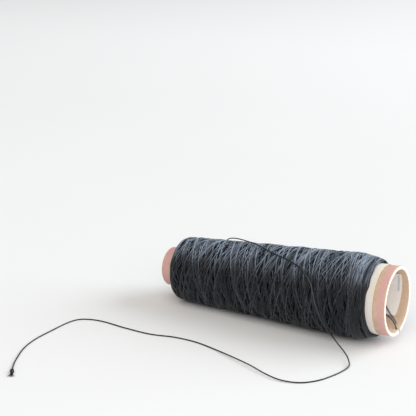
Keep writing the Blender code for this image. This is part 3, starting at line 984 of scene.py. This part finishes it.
def make_bed(bed, finish):
    """The wound thread under the strands that are modelled one by one."""
    rise = bed.lift[::BED_STEP].T[:, :, None]
    line = bed.line[::BED_STEP][None] + bed.normal[::BED_STEP][None] * rise
    hole = [
        (end + inward, tube_radius(end) + SLEEVE_GAP + SLEEVE_WALL)
        for end, inward in ((PACKAGE_START, BED_DEPTH), (PACKAGE_END, -BED_DEPTH))
    ]
    outline = np.concatenate([line, np.tile(np.array(hole)[None], (COLUMNS, 1, 1))], axis=1)
    rings = spool_points(outline[:, :, 0], ring_angles(COLUMNS)[:, None], outline[:, :, 1])
    rings[:, :, 2] = np.maximum(rings[:, :, 2], GROUND_GAP)
    count = outline.shape[1]
    quads, corner_rings, corner_sides = tube_grid(COLUMNS + 1, count)
    quads = quads[:, ::-1] % (COLUMNS * count)
    mesh = make_mesh("winding_bed", rings.reshape(-1, 3).tolist(), quads.tolist())
    around = corner_sides * BED_STEP * ROW / THREAD_DIAMETER
    wrap = np.stack([corner_rings * 1.0, around, np.full(around.shape, BED_SHADE)], axis=-1)
    corner_attribute(mesh, "wrap", wrap[:, ::-1].reshape(-1, 3))
    add_piece("winding_bed", mesh, finish, ["thread_package"])


def make_winding(finish, rng):
    bed = Bed()
    rows, columns, heights, shades = [values[::STRAND_KEEP] for values in wind(bed, rng)]
    bed.level()
    outlines, reach = strand_outlines(bed, rows, columns, heights)
    cuts = [round(len(rows) * k / STRAND_PIECES) for k in range(STRAND_PIECES + 1)]
    for number, (low, high) in enumerate(zip(cuts, cuts[1:])):
        kept = slice(low, high + 1)
        strands = [(outlines[kept], reach[kept], shades[kept])]
        thread_piece(f"winding_strands_{number + 1}", strands, finish)
    make_bed(bed, finish)
    make_stray_fibres(bed, finish, rng)


# -------- the paper


def paper_corner(along, radius, angle):
    """What a corner of the tube or the sleeve carries: along in mm, turns round, and depth in mm."""
    return along / MM, angle / 360.0, (tube_radius(along) - radius) / MM


def lathe_points(profile, angles, ruffle):
    points = []
    for angle in angles:
        for along, radius in profile:
            place = on_spool(along, angle, radius)
            if ruffle:
                shifts = [noise.noise(place * scale) * ruffle for scale in RUFFLE_SCALES]
                place = on_spool(along + shifts[0], angle, radius + shifts[1])
            points.append(tuple(place))
    return points


def notch_walls(profile, last):
    """The notch's two side walls and its floor, where last is the vertex that starts the last ring."""
    above = [i for i, (along, _) in enumerate(profile) if along >= NOTCH_FLOOR - NEARLY]
    first, second = [i for i in above if abs(profile[i][0] - NOTCH_FLOOR) < NEARLY]
    return [[last + i for i in above], above[::-1], [second, first, last + first, last + second]]


def lathe(name, profile, finish, replaced, notched=False, ruffle=0.0):
    """A closed profile of (along, radius) turned round the spool's axis, with the notch cut out.

    Its corners carry "place", as paper_corner gives it."""
    half_notch = math.degrees(NOTCH_WIDTH / 2 / BASE_RADIUS)
    low, high = NOTCH_ANGLE - half_notch, NOTCH_ANGLE + half_notch
    count, size = round(360.0 / LATHE_STEP), len(profile)
    angles = [high + (360.0 - high + low) * k / (count - 1) for k in range(count)]
    faces, corners = [], []
    for k in range(count):
        following = (k + 1) % count
        in_notch = notched and following == 0
        next_angle = angles[k + 1] if following else high + 360.0
        for i in range(size):
            j = (i + 1) % size
            if in_notch and min(profile[i][0], profile[j][0]) >= NOTCH_FLOOR - NEARLY:
                continue
            faces.append((k * size + i, k * size + j, following * size + j, following * size + i))
            for where, angle in ((i, angles[k]), (j, angles[k]), (j, next_angle), (i, next_angle)):
                corners.append(paper_corner(*profile[where], angle))
    if notched:
        walls = notch_walls(profile, (count - 1) * size)
        faces += walls
        corners += [paper_corner(*profile[v % size], NOTCH_ANGLE) for wall in walls for v in wall]
    mesh = make_mesh(name, lathe_points(profile, angles, ruffle), faces)
    corner_attribute(mesh, "place", corners)
    add_piece(name, mesh, finish, replaced)
    mesh.set_sharp_from_angle(angle=SHARP_ANGLE)


def ring_profile(start, end, outer, inner, rounding, stations):
    """A closed outline between two depths under the tube's surface, its four corners rounded."""
    corner = [(1.0, 0.0), (0.3, 0.3), (0.0, 1.0)]
    outline = [(end - rounding * a, outer + rounding * b) for a, b in corner[::-1]]
    outline += [(along, outer) for along in stations]
    outline += [(start + rounding * a, outer + rounding * b) for a, b in corner]
    outline += [(start + rounding * a, inner - rounding * b) for a, b in corner[::-1]]
    outline += [(along, inner) for along in reversed(stations)]
    outline += [(end - rounding * a, inner - rounding * b) for a, b in corner]
    return [(along, tube_radius(along) - depth) for along, depth in outline]


def make_tube(finishes):
    stations = [NOTCH_FLOOR] + [TUBE_LENGTH * k / 12 for k in range(11, 0, -1)]
    board = ring_profile(0.0, TUBE_LENGTH, 0.25 * MM, TUBE_WALL - 0.2 * MM, 0.35 * MM, stations)
    lathe("paper_board", board, finishes["rim"], ["core_board"], True, ruffle=0.06 * MM)
    layers = [
        ("outer_paper", 0.0, 0.4 * MM, "kraft", "outer_liner"),
        ("inner_paper", TUBE_WALL - 0.35 * MM, TUBE_WALL, "bore", "inner_liner"),
    ]
    for name, outer, inner, finish, replaced in layers:
        profile = ring_profile(LAYER_INSET, TUBE_LENGTH - LAYER_INSET, outer, inner, LAYER_ROUNDING, stations)
        lathe(name, profile, finishes[finish], [replaced], True)


def make_sleeve(finish):
    outer = -(SLEEVE_GAP + SLEEVE_WALL)
    stations = [SLEEVE_START + (SLEEVE_END - SLEEVE_START) * k / 8 for k in range(7, 0, -1)]
    profile = ring_profile(SLEEVE_START, SLEEVE_END, outer, outer + SLEEVE_WALL, 0.1 * MM, stations)
    lathe("sleeve_paper", profile, finish, ["white_sleeve"], ruffle=0.05 * MM)


def make_label(finish):
    """The label in the bore: a thin strip a little askew, with soft edges."""
    across, around = LABEL_CELLS
    vertices, corners = [], []
    for layer in (0.0, LABEL_WALL):
        for k in range(around + 1):
            share = k / around
            angle = LABEL_ANGLES[0] + (LABEL_ANGLES[1] - LABEL_ANGLES[0]) * share
            edge = TUBE_LENGTH - LABEL_FROM_BASE - LABEL_SKEW / 2 + LABEL_SKEW * share
            for i in range(across + 1):
                along = edge - LABEL_DEPTH * i / across
                lift = LABEL_WAVE * noise.noise(Vector((along, angle * MM, 0.0)) * LABEL_WAVE_SCALE)
                radius = tube_radius(along) - TUBE_WALL - LABEL_GAP - layer - lift
                vertices.append(tuple(on_spool(along, angle, radius)))
                corners.append((LABEL_DEPTH / MM * i / across, share, 0.0))
    row, sheet = across + 1, (across + 1) * (around + 1)
    faces = []
    for k in range(around):
        for i in range(across):
            a = k * row + i
            faces.append((a, a + 1, a + row + 1, a + row))
            faces.append((sheet + a, sheet + a + row, sheet + a + row + 1, sheet + a + 1))
    rim = list(range(row)) + [k * row + across for k in range(1, around + 1)]
    rim += [around * row + i for i in reversed(range(across))]
    rim += [k * row for k in reversed(range(1, around))]
    for first, second in zip(rim, rim[1:] + rim[:1]):
        faces.append((first, sheet + first, sheet + second, second))
    mesh = make_mesh("bore_label", vertices, faces)
    corner_attribute(mesh, "place", [corners[v] for face in faces for v in face])
    add_piece("bore_label", mesh, finish, ["inner_label"])
    mesh.set_sharp_from_angle(angle=SHARP_ANGLE)


# -------- the whole


def main():
    rng = np.random.default_rng(SEED)
    make_camera()
    thread = thread_finish("thread", 1.0, 0.25)
    make_cords(thread, thread_finish("loose_thread", 0.0, 0.05), rng)
    make_stage()
    make_winding(thread, rng)
    finishes = {
        "rim": rim_finish(),
        "kraft": kraft_finish("kraft_outside", TUBE_RINGS, OUTER_SEAM_PITCH),
        "bore": kraft_finish("kraft_bore", [], BORE_SEAM_PITCH, BORE, BORE_DARK, BORE_LIGHT),
    }
    make_tube(finishes)
    make_sleeve(paper_finish("sleeve_white", SLEEVE, SLEEVE_DARK))
    make_label(label_finish())


main()
